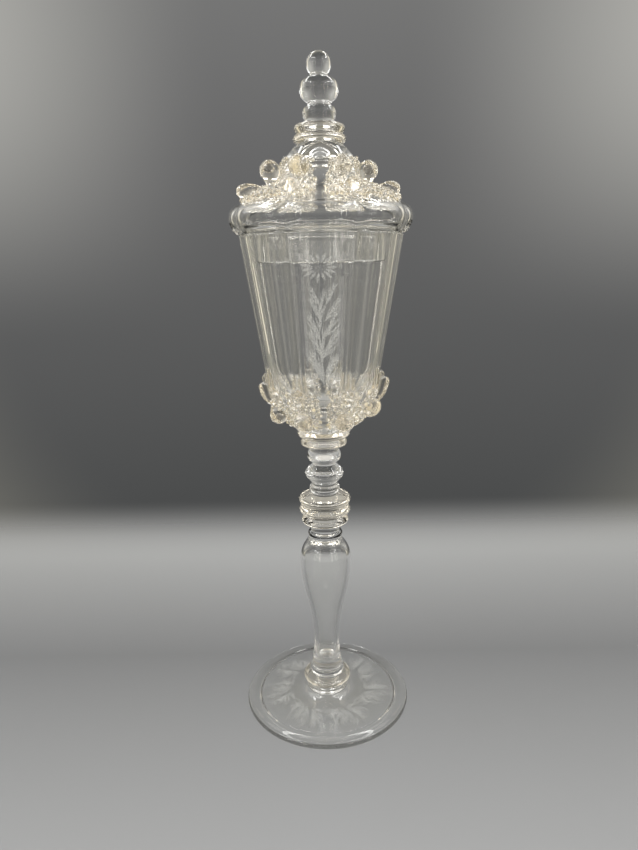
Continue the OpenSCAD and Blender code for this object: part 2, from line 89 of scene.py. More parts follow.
def blown_glass(name, pale, deep, lamp_tint, cord_mm, cord_depth_mm):
    """Fire-polished soda-lime glass: clear, glossy, with slow cords that bend what is seen through it.

    The hue wanders a little along the cords, as it does in an old pot of glass, and handling leaves a faint
    haze. Light from lamps passes it, so that it throws the pale shadow of glass.
    """
    material, tree = new_material(name)
    place = node(tree, "ShaderNodeTexCoord").outputs["Object"]
    stretch = node(tree, "ShaderNodeMapping", {"Vector": place, "Scale": (1, 1, 0.35)}).outputs["Vector"]
    cords = node(tree, "ShaderNodeTexNoise", {
        "Vector": stretch, "Scale": 1 / (cord_mm * MM), "Detail": 2.0, "Roughness": 0.4,
    }).outputs["Fac"]
    hue = node(tree, "ShaderNodeMix", {
        "Factor": cords, "A": linear(pale), "B": linear(deep),
    }, data_type="RGBA")
    haze_mm = 14
    handling = node(tree, "ShaderNodeTexNoise", {"Vector": place, "Scale": 1 / (haze_mm * MM), "Detail": 4.0})
    haze = node(tree, "ShaderNodeMapRange", {
        "Value": handling.outputs["Fac"], "From Min": 0.45, "From Max": 0.8, "To Min": 0.0, "To Max": 0.01,
    })
    ripple = node(tree, "ShaderNodeBump", {"Height": cords, "Strength": 0.35, "Distance": cord_depth_mm * MM})
    glass = node(tree, "ShaderNodeBsdfPrincipled", {
        "Base Color": hue.outputs["Result"], "Roughness": haze.outputs["Result"], "IOR": 1.5,
        "Transmission Weight": 1.0, "Normal": ripple.outputs["Normal"],
    })
    through = node(tree, "ShaderNodeBsdfTransparent", {"Color": linear(lamp_tint)})
    ray = node(tree, "ShaderNodeLightPath").outputs
    lamp_ray = node(tree, "ShaderNodeMath", {
        0: ray["Is Shadow Ray"], 1: ray["Is Diffuse Ray"],
    }, operation="MAXIMUM")
    shown = node(tree, "ShaderNodeMixShader", {
        "Fac": lamp_ray.outputs["Value"], 1: glass.outputs["BSDF"], 2: through.outputs["BSDF"],
    })
    node(tree, "ShaderNodeOutputMaterial", {"Surface": shown.outputs["Shader"]})
    return material


clear_glass = blown_glass(
    "Soda-lime glass, blown and fire polished", pale="#fefefe", deep="#fdfdfb", lamp_tint="#fdfdfc",
    cord_mm=9, cord_depth_mm=0.03,
)

# Where two gathers were joined hot there is glass on both sides, so nothing shows.
fused_joint, fused_tree = new_material("Soda-lime glass, hot joint")
node(fused_tree, "ShaderNodeOutputMaterial", {
    "Surface": node(fused_tree, "ShaderNodeBsdfTransparent", {"Color": (1, 1, 1, 1)}).outputs["BSDF"],
})


def extent(part):
    """Lowest and highest point of a turned node, and its widest radius, in millimetres."""
    low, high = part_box(part)
    return low.z / MM, high.z / MM, high.x / MM


def bezier(a, b, c, d, steps):
    """Points of a cubic curve in the upright plane of radius and height."""
    a, b, c, d = (np.array(p, float) for p in (a, b, c, d))
    t = np.linspace(0, 1, steps + 1)[:, None]
    return a * (1 - t) ** 3 + 3 * b * t * (1 - t) ** 2 + 3 * c * t ** 2 * (1 - t) + d * t ** 3


def arc(centre, radius, start, end, steps):
    """Points of an arc in the upright plane, between two angles in degrees."""
    angles = np.radians(np.linspace(start, end, steps + 1))
    return np.array(centre) + radius * np.column_stack([np.cos(angles), np.sin(angles)])


def waver(angles, radius, height):
    """How far a free-hand surface strays inward from a true turn: slow swings round it and up it."""
    oval_most, threefold_most, near_axis_r = 0.09, 0.05, 8
    oval = oval_most * np.sin(2 * angles + 0.031 * height)
    threefold = threefold_most * np.sin(3 * angles - 0.047 * height + 1.3)
    return (oval + threefold - (oval_most + threefold_most)) * radius / (radius + near_axis_r)


def lathe(outline, steps, press=None):
    """Vertices and faces of an outline turned about the axis; it starts and ends on the axis.

    press(angles, row) gives how far each row is pressed in or out, for lobes and pinches.
    """
    angles = np.arange(steps) * 2 * math.pi / steps
    points, rings = [], []
    for row, (radius, height) in enumerate(outline):
        if radius < ON_AXIS:
            rings.append([len(points)])
            points.append((0.0, 0.0, height))
            continue
        radii = radius + waver(angles, radius, height)
        if press:
            radii = radii + press(angles, row)
        rings.append(range(len(points), len(points) + steps))
        points.extend(zip(radii * np.cos(angles), radii * np.sin(angles), np.full(steps, height)))
    faces, rows = [], []
    for row, (a, b) in enumerate(zip(rings, rings[1:])):
        for i in range(steps):
            k = (i + 1) % steps
            if len(a) == 1:
                faces.append((a[0], b[k], b[i]))
            elif len(b) == 1:
                faces.append((a[i], a[k], b[0]))
            else:
                faces.append((a[i], a[k], b[k], b[i]))
            rows.append(row)
    return np.array(points), faces, np.array(rows)


def add_object(name, data):
    """An object of a mesh, a lamp or a camera, put in the scene."""
    made = bpy.data.objects.new(name, data)
    bpy.context.scene.collection.objects.link(made)
    return made


def put_on(part, name, mesh):
    """Puts a mesh in the scene, riding on the body of its node."""
    made = add_object(name, mesh)
    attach(made, BODY_OF[part])
    return made


def make_piece(name, points, faces, joints, finish, part):
    """A closed mesh of one node's glass, whose hot-joined faces are marked."""
    mesh = bpy.data.meshes.new(name)
    mesh.from_pydata((np.array(points) * MM).tolist(), [], faces)
    mesh.materials.append(finish)
    mesh.materials.append(fused_joint)
    joints = np.array(joints, bool)
    mesh.polygons.foreach_set("material_index", joints.astype(np.int32))
    mesh.polygons.foreach_set("use_smooth", ~joints)
    mesh.update()
    return put_on(part, name, mesh)


def turn_piece(part, outline, finish, joint_rows, hollow=None, steps=128):
    """Turns a node's glass: its outside, and the bubble sealed inside it if it has one."""
    points, faces, rows = lathe(outline, steps)
    joints = np.isin(rows, [row % (len(outline) - 1) for row in joint_rows])
    if hollow is not None:
        inner, inner_faces, _ = lathe(hollow, steps)
        faces = faces + [tuple(len(points) + i for i in reversed(face)) for face in inner_faces]
        points = np.vstack([points, inner])
        joints = np.append(joints, [False] * len(inner_faces))
    made = make_piece(f"{part}_glass", points, faces, joints, finish, part)
    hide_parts(part)


_, foot_top, foot_r = extent("foot")
pad_r, cove_r = 14.4, 8
welt_t, welt_w, welt_swell, disc_t, kick_h = 4.4, 9, 1.2, 2.6, 8
scar_r, scar_w, scar_drop = 5.5, 1.2, 0.7
disc_r = foot_r - welt_t / 2
cove = np.array([pad_r + cove_r, foot_top])
to_cove = cove - (disc_r, welt_t)
cone_angle = math.atan2(to_cove[1], to_cove[0]) + math.asin(cove_r / np.hypot(*to_cove))
cone_slope = -math.tan(cone_angle)
cove_foot_r = disc_r + math.sqrt(to_cove @ to_cove - cove_r ** 2) * math.cos(cone_angle)


def foot_height(radius, inset=0.0):
    """Height of the foot's upper face, a shallow cone that a cove lifts to the pad.

    With an inset, it is the height of the face that lies so far below it.
    """
    radius = np.array(radius, float)
    cone = welt_t - inset / math.cos(cone_angle - math.pi) + (disc_r - radius) * cone_slope
    lift = np.sqrt(np.maximum((cove_r + inset) ** 2 - (radius - cove[0]) ** 2, 0))
    return np.where(radius > cove_foot_r, cone, foot_top - lift)


lip_r = foot_r - welt_w
lip_bend, lip_flat = 2.6, 1.2
under_r = np.linspace(lip_r - lip_bend, scar_r + 3 * scar_w, 48)
under_z = np.minimum(foot_height(under_r, disc_t), kick_h)
scar_radii = np.linspace(scar_r + 2.7 * scar_w, 0.6, 18)
scar_z = kick_h - scar_drop * np.exp(-((scar_radii - scar_r) / scar_w) ** 2)
cove_swing = np.linspace(math.asin((cove_foot_r - cove[0]) / cove_r), -math.pi / 2, 20)
top_r = np.concatenate([np.linspace(disc_r, cove_foot_r, 40), cove[0] + cove_r * np.sin(cove_swing[1:])])
fold_share = np.clip((disc_r - top_r) / welt_w, 0, 1)
foot_outline = np.vstack([
    [[0, kick_h]],
    np.column_stack([scar_radii, scar_z])[::-1],
    np.column_stack([under_r, under_z])[::-1],
    bezier((lip_r - lip_bend + 0.4, under_z[0] - 0.02), (lip_r - 0.8, under_z[0] - 0.15),
           (lip_r - 0.6, 0), (lip_r + lip_flat, 0), 10),
    arc((disc_r, welt_t / 2), welt_t / 2, -90, 90, 20),
    np.column_stack([top_r, foot_height(top_r) + welt_swell * np.sin(np.pi * fold_share)])[1:],
    [[0, foot_top]],
])
turn_piece("foot", foot_outline, clear_glass, [-1], steps=256)


# Engraving of the foot
# A wreath of lance leaves, cut into the top of the foot with small copper wheels and left matte.
# Each cut is a shallow ground facet, so here it is a thin matte skin just over the clear face.
def ground_glass(name, shallow, deep):
    """Matte cuts: white scatter over the clear face, thin and streaked by the strokes of the wheel."""
    made, tree = new_material(name)
    # Fine strokes of the wheel: drawn at 0.7 mm, coarser than the real grit, so that they are still seen.
    stroke_mm = 0.7
    strokes = node(tree, "ShaderNodeTexNoise", {
        "Vector": node(tree, "ShaderNodeTexCoord").outputs["Object"],
        "Scale": 1 / (stroke_mm * MM), "Detail": 3.0,
    })
    cover = node(tree, "ShaderNodeMapRange", {
        "Value": strokes.outputs["Fac"], "From Min": 0.3, "From Max": 0.7, "To Min": shallow, "To Max": deep,
    })
    coat = node(tree, "ShaderNodeBsdfPrincipled", {
        "Base Color": linear("#e6e6e2"), "Roughness": 0.7, "Alpha": cover.outputs["Result"],
    })
    node(tree, "ShaderNodeOutputMaterial", {"Surface": coat.outputs["BSDF"]})
    return made


rubbed_cuts = ground_glass("Soda-lime glass, wheel-ground matte, rubbed", 0.02, 0.075)


def bent_line(root, bend, tip, t):
    """Points at shares t of a line that bends on its way from a root to a tip."""
    root, bend, tip = (np.array(p, float) for p in (root, bend, tip))
    return root * (1 - t) ** 2 + 2 * bend * t * (1 - t) + tip * t ** 2


def blade(root, bend, tip, width, blunt=0.8):
    """One cut of the wheel: a lens along a curve in a surface's own (side, along) millimetres.

    Gives rows of (side, along, lift) over it and under it; the cut is fullest at its middle.
    """
    count, across = 13, 4
    t = np.linspace(0, 1, count)[:, None]
    line = bent_line(root, bend, tip, t)
    run = np.gradient(line, axis=0)
    run /= np.hypot(*run.T)[:, None]
    aside = np.column_stack([-run[:, 1], run[:, 0]])
    thinnest, edge_lift, rise, under_lift = 0.04, 0.03, 0.09, 0.01
    half = np.maximum(width / 2 * np.sin(np.pi * t[:, 0] ** blunt), thinnest)
    over, under = [], []
    for place, normal, w in zip(line, aside, half):
        for k in np.linspace(-1, 1, across + 1):
            spot = place + normal * w * k
            over.append((*spot, edge_lift + rise * (1 - k * k)))
            under.append((*spot, under_lift))
    return np.array(over), np.array(under), count, across + 1


def feather(root, bend, tip, width, strokes=3):
    """A leaf: a midrib, with slanting strokes of the wheel on both sides of it."""
    root, bend, tip = (np.array(p, float) for p in (root, bend, tip))
    length = np.hypot(*(tip - root))
    cuts = [blade(root, bend, tip, width * 0.45, 0.6)]
    for t in np.linspace(0.08, 0.62, strokes):
        at = bent_line(root, bend, tip, t)
        run = (bend - root) * (1 - t) + (tip - bend) * t
        run /= np.hypot(*run)
        reach = length * (0.48 - 0.3 * t)
        for hand in (-1, 1):
            aside = hand * np.array([-run[1], run[0]]) * width * (0.72 - 0.4 * t)
            stroke_bend = at + run * reach * 0.4 + aside * 0.75
            cuts.append(blade(at, stroke_bend, at + run * reach + aside, width * 0.36))
    return cuts


def engrave(name, cuts, surface, part, finish):
    """One piece of many cuts, each a closed skin laid on a surface(side, along, lift)."""
    skin = bmesh.new()
    for over, under, rows, cols in cuts:
        top = [skin.verts.new(p * MM) for p in surface(*over.T)]
        low = [skin.verts.new(p * MM) for p in surface(*under.T)]
        for i in range(rows - 1):
            for j in range(cols - 1):
                a, b, c, d = i * cols + j, (i + 1) * cols + j, (i + 1) * cols + j + 1, i * cols + j + 1
                skin.faces.new((top[a], top[b], top[c], top[d]))
                skin.faces.new((low[d], low[c], low[b], low[a]))
        edge = [i * cols for i in range(rows)] + [(rows - 1) * cols + j for j in range(1, cols)]
        edge += [i * cols + cols - 1 for i in range(rows - 2, -1, -1)] + list(range(cols - 2, 0, -1))
        for a, b in zip(edge, edge[1:] + edge[:1]):
            skin.faces.new((top[b], top[a], low[a], low[b]))
    bmesh.ops.recalc_face_normals(skin, faces=skin.faces)
    mesh = bpy.data.meshes.new(name)
    skin.to_mesh(mesh)
    skin.free()
    mesh.materials.append(finish)
    mesh.polygons.foreach_set("use_smooth", np.ones(len(mesh.polygons), bool))
    put_on(part, name, mesh)


def on_foot(turn):
    """Places cuts on the top of the foot, along a radius at an angle."""
    def place(side, along, lift):
        angles = turn + side / along
        radii = along + waver(angles, along, foot_height(along))
        return np.column_stack([radii * np.cos(angles), radii * np.sin(angles), foot_height(along) + lift])
    return place


sprigs = 7
for i in range(sprigs):
    turn = 2 * math.pi * (i + 0.5) / sprigs - math.pi / 2
    engrave(f"foot_engraving_{i + 1}", [
        blade((-9, 27), (2, 30), (5, 50), 0.9, 0.6),
        *feather((-6, 28), (-9, 36), (-6, 47), 6),
        *feather((-3, 28.5), (-3, 38), (1, 49), 5.6),
        *feather((1, 30), (7, 33), (10, 42), 5.6),
        *feather((3, 34), (9, 39), (9, 50), 5.4),
        *feather((-8, 27.5), (-14, 31), (-15, 40), 5.6),
        blade((4, 40), (2, 46), (-2, 51), 1.8),
        blade((-11, 32), (-14, 40), (-11, 48), 1.8),
        blade((0, 29.5), (6, 27), (12, 31), 1.8),
        blade((8, 33), (13, 36), (16, 44), 1.6),
    ], on_foot(turn), "foot", rubbed_cuts)


# Cushion and button
# Two solid gathers, dropped hot on the foot and pressed with the jacks into a thick wafer and a ring.
# They hold the stem upright; the wafer is thick enough to show the straw tint of its glass.
warm_glass = blown_glass(
    "Soda-lime glass, thick hot-worked gather", pale="#fdf9ef", deep="#f9f0de", lamp_tint="#f3efe4",
    cord_mm=7, cord_depth_mm=0.03,
)


def bead_side(widest_r, end_r, half, collar=1.2):
    """Half of a rounded knop, from its widest line to the straight collar at its joint, as (radius, rise)."""
    rise = half - collar
    swell_r = ((widest_r - end_r) ** 2 + rise ** 2) / (2 * (widest_r - end_r))
    swing = np.linspace(0, math.asin(rise / swell_r), 24)
    round_part = np.column_stack([widest_r - swell_r + swell_r * np.cos(swing), swell_r * np.sin(swing)])
    return np.vstack([round_part, [[end_r, half]]])


def wafer_side(widest_r, end_r, half, edge=2.2):
    """Half of a pressed wafer, from its rounded edge along a sloping face to its joint, as (radius, rise)."""
    along = np.array([widest_r - edge - end_r, -half])
    turn = math.atan2(along[1], along[0]) + math.asin(edge / np.hypot(*along)) + math.pi / 2
    swing = np.linspace(0, turn, 16)
    round_part = np.column_stack([widest_r - edge + edge * np.cos(swing), edge * np.sin(swing)])
    return np.vstack([round_part, [[end_r, half]]])


def spaced(line, count):
    """A line drawn again with so many points, evenly spaced along it."""
    length = np.concatenate([[0], np.cumsum(np.hypot(*np.diff(line, axis=0).T))])
    at = np.linspace(0, length[-1], count)
    return np.column_stack([np.interp(at, length, line[:, k]) for k in (0, 1)])


def soften(line, width=0.9, step=0.22):
    """A line drawn again at even steps with its corners rounded, as a flame rounds glass; its ends stay."""
    length = np.hypot(*np.diff(line, axis=0).T).sum()
    count = max(int(length / step), 8)
    even = spaced(line, count + 1)
    reach = max(int(width / step / 2), 1)
    rounded = even.copy()
    for i in range(1, count):
        span = min(reach, i, count - i)
        rounded[i] = even[i - span:i + span + 1].mean(axis=0)
    return rounded


def turn_gather(part, side, low_r, high_r, finish, **shape):
    """A solid gather between two hot joints, at its node's height and widest radius."""
    low_z, high_z, widest_r = extent(part)
    half = (high_z - low_z) / 2
    lower, upper = (side(widest_r, end_r, half, **shape) for end_r in (low_r, high_r))
    skin = np.vstack([lower[::-1] * (1, -1), upper[1:]]) + (0, low_z + half)
    turn_piece(part, np.vstack([[[0, low_z]], soften(skin), [[0, high_z]]]), finish, [0, -1])


cushion_top_r = 12
button_top_r = 11.3
turn_gather("foot_cushion", wafer_side, pad_r, cushion_top_r, warm_glass, edge=2.4)
turn_gather("stem_button", bead_side, cushion_top_r, button_top_r, clear_glass)


# Baluster
# The hollow stem, blown as a long bubble and drawn to an inverted baluster with its air sealed in.
# Its wall is thin enough to look empty, with a round end to the bubble just above the button.
baluster_low, baluster_high, belly_r = extent("baluster")
waist_r, waist_up = 9.3, 22
shoulder_h = 17
baluster_top_r = 12
bubble_wall, bubble_plug, bubble_cap_r = 3, 3.5, 7
waist_z = baluster_low + waist_up
belly_z = baluster_high - shoulder_h
side_h = belly_z - waist_z


def baluster_side(wall):
    """Outline from the waist to the belly, drawn in by a wall."""
    return bezier(
        (waist_r - wall, waist_z), (waist_r - wall, waist_z + 0.45 * side_h),
        (belly_r - wall, belly_z - 0.42 * side_h), (belly_r - wall, belly_z), 40,
    )


baluster_outline = np.vstack([
    [[0, baluster_low]],
    bezier((button_top_r, baluster_low), (button_top_r - 0.4, baluster_low + 6),
           (waist_r, waist_z - 9), (waist_r, waist_z), 20),
    baluster_side(0)[1:],
    bezier((belly_r, belly_z), (belly_r, belly_z + 9.5),
           (baluster_top_r, baluster_high - 3.2), (baluster_top_r, baluster_high), 24)[1:],
    [[0, baluster_high]],
])
bubble_r = waist_r - bubble_wall
bubble_low = baluster_low + bubble_plug
bubble_high = baluster_high - bubble_plug
bubble_outline = np.vstack([
    arc((0, bubble_low + bubble_r), bubble_r, -90, 0, 16)[:-1],
    np.column_stack([np.full(10, bubble_r), np.linspace(bubble_low + bubble_r, waist_z, 10)]),
    baluster_side(bubble_wall)[1:],
    bezier((belly_r - bubble_wall, belly_z), (belly_r - bubble_wall, belly_z + 9),
           (bubble_cap_r, bubble_high), (0, bubble_high), 24)[1:],
])
bubble_outline[0, 0] = bubble_outline[-1, 0] = 0
turn_piece("baluster", baluster_outline, clear_glass, [0, -1], bubble_outline)


# Neck and stem mereses
# A ring and a short throat above the baluster, then three flat wafers of hot glass pressed on one another.
# The wafers are solid and straw-tinted, with fire-rounded edges and a groove where each pair was joined.
neck_low, neck_high, neck_ring_r = extent("stem_neck")
neck_r = 10.5
ring_half = 2.25
ring_low = bead_side(neck_ring_r, baluster_top_r, ring_half, 0)[::-1] * (1, -1)
ring_high = bead_side(neck_ring_r, neck_r, ring_half, 0)
throat = np.vstack([np.vstack([ring_low, ring_high[1:]]) + (0, neck_low + ring_half), [[neck_r, neck_high]]])
neck_outline = np.vstack([[[0, neck_low]], soften(throat), [[0, neck_high]]])
turn_piece("stem_neck", neck_outline, clear_glass, [0, -1])
joint_r = neck_r
for part, upper_r in (("stem_merese_low", 15.6), ("stem_merese_mid", 17), ("stem_merese_top", 9.6)):
    turn_gather(part, wafer_side, joint_r, upper_r, warm_glass)
    joint_r = upper_r


# Stem knops and bowl mereses
# Three solid clear knops, each a gather rounded on the marver, and two more wafers that the bowl stands on.
# They were set on one another hot; light from both sides runs round them in paired bright lines.
knop_mid_edge = 3.8
for part, side, upper_r, finish, shape in (
    ("stem_knop_low", bead_side, 9, clear_glass, {}),
    ("stem_knop_mid", wafer_side, 8.4, clear_glass, {"edge": knop_mid_edge}),
    ("stem_knop_top", bead_side, 9.6, clear_glass, {}),
    ("bowl_merese_low", wafer_side, 15.2, warm_glass, {}),
    ("bowl_merese_top", wafer_side, 16.8, warm_glass, {}),
):
    turn_gather(part, side, joint_r, upper_r, finish, **shape)
    joint_r = upper_r


# Bowl
# Blown into a lobed mould: eight tall panels with rounded creases between them, over a rounded cup.
# Its wall is thin and even, the bottom of the cup is thick, and the mouth is fire-rounded.
bowl_low, seat_z, rim_r = extent("bowl")
lobes = 8
base_r = joint_r
cup_h, cup_r = 41, 39.2
bowl_h = seat_z - bowl_low
wall_t = 2.5
rim_gap = 0.05
wall_slope = (rim_r - cup_r) / (bowl_h - cup_h)
wall_lean = math.atan(wall_slope)
cup_lean = math.atan2(cup_r - base_r, cup_h)
cup_arc_r = math.hypot(cup_r - base_r, cup_h) / (2 * math.sin(cup_lean - wall_lean))
cup_centre = (cup_r - cup_arc_r * math.cos(wall_lean), cup_h + cup_arc_r * math.sin(wall_lean))
crease_depth, cup_crease_depth, crease_end_h = 2.6, 1.7, 20


def crease(angles, sharp):
    """1 in the creases between the lobes and 0 over the lobes; a sharper crease is a narrower one."""
    return (0.5 - 0.5 * np.cos(lobes * (angles + math.pi / 2))) ** sharp


def smooth_step(x):
    """0 up to 0, 1 from 1 on, and an eased rise between them."""
    x = np.clip(x, 0, 1)
    return x * x * (3 - 2 * x)


def bowl_crease_depth(up):
    """Depth of the creases at a height above the bowl's base: they die out in the cup."""
    depth = cup_crease_depth + (crease_depth - cup_crease_depth) * (up - cup_h) / (bowl_h - cup_h)
    return depth * smooth_step((up - crease_end_h) / (cup_h - crease_end_h))


def cup_side(up):
    """Radius of the cup at a height above the bowl's base."""
    return cup_centre[0] + np.sqrt(cup_arc_r ** 2 - (up - cup_centre[1]) ** 2)


edge_drop, bend_up, cup_floor_t = 1.3, 4, 12
cup_up = np.linspace(0, cup_h, 48)
wall_up = np.linspace(cup_h, bowl_h - edge_drop, 60)
edge_r = wall_t / 2
edge_centre = (rim_r - wall_slope * edge_r - edge_r, bowl_h - rim_gap - edge_r)
inner_up = np.linspace(bowl_h - edge_drop, cup_h + bend_up, 56)
bowl_outline = np.vstack([
    [[0, 0]],
    np.column_stack([cup_side(cup_up), cup_up]),
    np.column_stack([cup_r + (wall_up - cup_h) * wall_slope, wall_up])[1:],
    arc(edge_centre, edge_r, 0, 180, 12)[1:-1],
    np.column_stack([cup_r - wall_t + (inner_up - cup_h) * wall_slope, inner_up]),
    bezier((cup_r - wall_t + bend_up * wall_slope, cup_h + bend_up), (cup_r - 4.4, cup_h - 9),
           (27, cup_floor_t + 0.4), (0, cup_floor_t), 48)[1:],
])
bowl_outline[-1, 0] = 0
outside_rows = len(cup_up) + len(wall_up)
mouth_row = outside_rows + 6
crease_sharp, inner_sharp, inner_share = 13, 2.5, 0.6


def press_bowl(angles, row):
    """The creases: narrow where the mould pressed the outside, broad and shallower inside."""
    depth = bowl_crease_depth(bowl_outline[row, 1])
    if row > mouth_row:
        return -crease(angles, inner_sharp) * depth * inner_share
    return -crease(angles, crease_sharp) * depth


bowl_steps = 360
bowl_points, bowl_faces, bowl_rows = lathe(bowl_outline, bowl_steps, press_bowl)
bowl_points[:, 2] += bowl_low


def lay_over(tree, cover, skin):
    """Lets a thin skin hide what a glass shows, as far as its cover says."""
    out = next(n for n in tree.nodes if n.bl_idname == "ShaderNodeOutputMaterial")
    under = out.inputs["Surface"].links[0].from_socket
    shown = node(tree, "ShaderNodeMixShader", {"Fac": cover, 1: under, 2: skin})
    tree.links.new(shown.outputs["Shader"], out.inputs["Surface"])


# The cool ribs of the mould leave faint pale streaks that run up the wall, a thin veil over what is behind.
bowl_glass = blown_glass(
    "Soda-lime glass, mould blown", pale="#fefefe", deep="#fdfdfb", lamp_tint="#fafaf8",
    cord_mm=9, cord_depth_mm=0.03,
)
streaked = bowl_glass.node_tree
streak_mm, streak_low, streak_high = 3.6, 0.004, 0.085
wall_place = node(streaked, "ShaderNodeSeparateXYZ", {
    "Vector": node(streaked, "ShaderNodeTexCoord").outputs["Object"],
}).outputs
level = node(streaked, "ShaderNodeCombineXYZ", {"X": wall_place["X"], "Y": wall_place["Y"]})
wall_side = node(streaked, "ShaderNodeVectorMath", {"Vector": level.outputs["Vector"]}, operation="NORMALIZE")
streaks = node(streaked, "ShaderNodeTexNoise", {
    "Vector": wall_side.outputs["Vector"], "Scale": rim_r / streak_mm, "Detail": 3.0,
})
veil = node(streaked, "ShaderNodeMapRange", {
    "Value": streaks.outputs["Fac"], "From Min": 0.46, "From Max": 0.66,
    "To Min": streak_low, "To Max": streak_high,
})
pale_rib = node(streaked, "ShaderNodeBsdfDiffuse", {"Color": linear("#efece2")})
lay_over(streaked, veil.outputs["Result"], pale_rib.outputs["BSDF"])


# Applied trails of the bowl
# Eight ropes of hot glass laid down the creases of the cup and pincered into a granular band.
# From each a round ball is drawn out below, a drop leans out above it, and fingers lie up the wall.
trail_glass = blown_glass(
    "Soda-lime glass, pincered hot", pale="#fefaf2", deep="#fcf6e9", lamp_tint="#f4f1e8",
    cord_mm=5, cord_depth_mm=0.04,
)
# Each nip of the cold pincers chills the skin to a pale crinkled facet; between them the glass stays clear.
# Drawn at 2.8 mm, coarser than the real crinkle, so that the grain is still seen.
nip_mm, nip_depth_mm, patch_mm, chill = 2.8, 0.4, 6, 0.85
chilled = trail_glass.node_tree
trail_place = node(chilled, "ShaderNodeTexCoord").outputs["Object"]
nip_cells = node(chilled, "ShaderNodeTexVoronoi", {
    "Vector": trail_place, "Scale": 1 / (nip_mm * MM), "Randomness": 1.0,
})
facet = node(chilled, "ShaderNodeMapRange", {
    "Value": nip_cells.outputs["Distance"], "From Min": 0.25, "From Max": 0.45,
    "To Min": chill, "To Max": 0.0,
})
patches = node(chilled, "ShaderNodeTexNoise", {
    "Vector": trail_place, "Scale": 1 / (patch_mm * MM), "Detail": 1.0,
})
patch = node(chilled, "ShaderNodeMapRange", {
    "Value": patches.outputs["Fac"], "From Min": 0.42, "From Max": 0.58, "To Min": 0.05, "To Max": 1.0,
})
uneven = node(chilled, "ShaderNodeMath", {
    0: facet.outputs["Result"], 1: patch.outputs["Result"],
}, operation="MULTIPLY")
nipped_skin = node(chilled, "ShaderNodeAttribute", attribute_name="nipped")
facet_cover = node(chilled, "ShaderNodeMath", {
    0: uneven.outputs["Value"], 1: nipped_skin.outputs["Fac"],
}, operation="MULTIPLY")
crinkle = node(chilled, "ShaderNodeBump", {
    "Height": facet_cover.outputs["Value"], "Distance": nip_depth_mm * MM,
})
facet_skin = node(chilled, "ShaderNodeBsdfPrincipled", {
    "Base Color": linear("#f6efdf"), "Roughness": 0.35, "Normal": crinkle.outputs["Normal"],
})
lay_over(chilled, facet_cover.outputs["Value"], facet_skin.outputs["BSDF"])


def unit_ball(fine):
    """Points and faces of a ball of radius 1."""
    ball = bmesh.new()
    bmesh.ops.create_icosphere(ball, subdivisions=fine, radius=1.0)
    points = np.array([v.co for v in ball.verts])
    faces = np.array([[v.index for v in face.verts] for face in ball.faces])
    ball.free()
    return points, faces


small_ball, large_ball = unit_ball(2), unit_ball(3)


def largest_skin(points, faces):
    """The largest of several separate skins: crumbs of glass that touch nothing are left out."""
    joined = list(range(len(points)))

    def first(i):
        while joined[i] != i:
            joined[i] = joined[joined[i]]
            i = joined[i]
        return i

    for face in faces:
        for i in face[1:]:
            joined[first(i)] = first(face[0])
    skin = np.array([first(i) for i in range(len(points))])
    kept = skin == np.bincount(skin).argmax()
    place = np.cumsum(kept) - 1
    return points[kept], [tuple(place[list(face)].tolist()) for face in faces if kept[face[0]]]


def gather_skin(balls, voxel=0.36):
    """One closed skin round overlapping balls (x, y, z, radius), softened as hot glass flows together."""
    points, faces, count = [], [], 0
    for x, y, z, radius in balls:
        shape, shape_faces = small_ball if radius < 2.5 else large_ball
        points.append(shape * radius + (x, y, z))
        faces.append(shape_faces + count)
        count += len(shape)
    mesh = bpy.data.meshes.new("cluster")
    mesh.from_pydata((np.vstack(points) * MM).tolist(), [], np.vstack(faces).tolist())
    holder = add_object("cluster", mesh)
    skin = holder.modifiers.new("skin", "REMESH")
    skin.mode = "VOXEL"
    skin.voxel_size = voxel * MM
    flow = holder.modifiers.new("flow", "SMOOTH")
    flow.factor, flow.iterations = 0.5, 1
    done = bpy.data.meshes.new_from_object(holder.evaluated_get(bpy.context.evaluated_depsgraph_get()))
    points = np.array([v.co for v in done.vertices]) / MM
    faces = [tuple(p.vertices) for p in done.polygons]
    bpy.data.objects.remove(holder)
    bpy.data.meshes.remove(mesh)
    bpy.data.meshes.remove(done)
    return largest_skin(points, faces)


def seat_on(carrier, points, faces, touch=0.02):
    """Moves what lies inside the carrier's wall out to the wall, and says which faces then lie on it."""
    seated = np.zeros(len(points), bool)
    for i, point in enumerate(points):
        near, normal, _, _ = carrier.find_nearest(Vector(point))
        seated[i] = (Vector(point) - near).dot(normal) < touch
        if seated[i]:
            points[i] = near
    return np.array([seated[list(face)].all() for face in faces])


def mark_nips(made, drawn):
    """Marks the skin as nipped by the pincers, except on the balls that were drawn out of it."""
    smooth_to, nipped_from = 0.15, 0.7
    spots = np.array([v.co for v in made.data.vertices]) / MM
    off = np.min([np.linalg.norm(spots - ball[:3], axis=1) - ball[3] for ball in np.array(drawn)], axis=0)
    nipped = smooth_step((off - smooth_to) / (nipped_from - smooth_to))
    made.data.attributes.new("nipped", "FLOAT", "POINT").data.foreach_set("value", nipped)


def clear_of(balls, keep_off, gap=0.4, share=0.4):
    """The balls of a band that don't crowd a larger ball: a gap and a share of their own size stay free."""
    return [ball for ball in balls if math.dist(ball[:3], keep_off[:3]) > keep_off[3] + gap + share * ball[3]]


def along_wall(outline, low, high, count):
    """Points spaced evenly along an outline between two heights, with the outward normal at each."""
    part = outline[(outline[:, 1] >= low) & (outline[:, 1] <= high)]
    points = spaced(part[np.argsort(part[:, 1])], count)
    run = np.gradient(points, axis=0)
    run /= np.hypot(*run.T)[:, None]
    return points, np.column_stack([run[:, 1], -run[:, 0]])


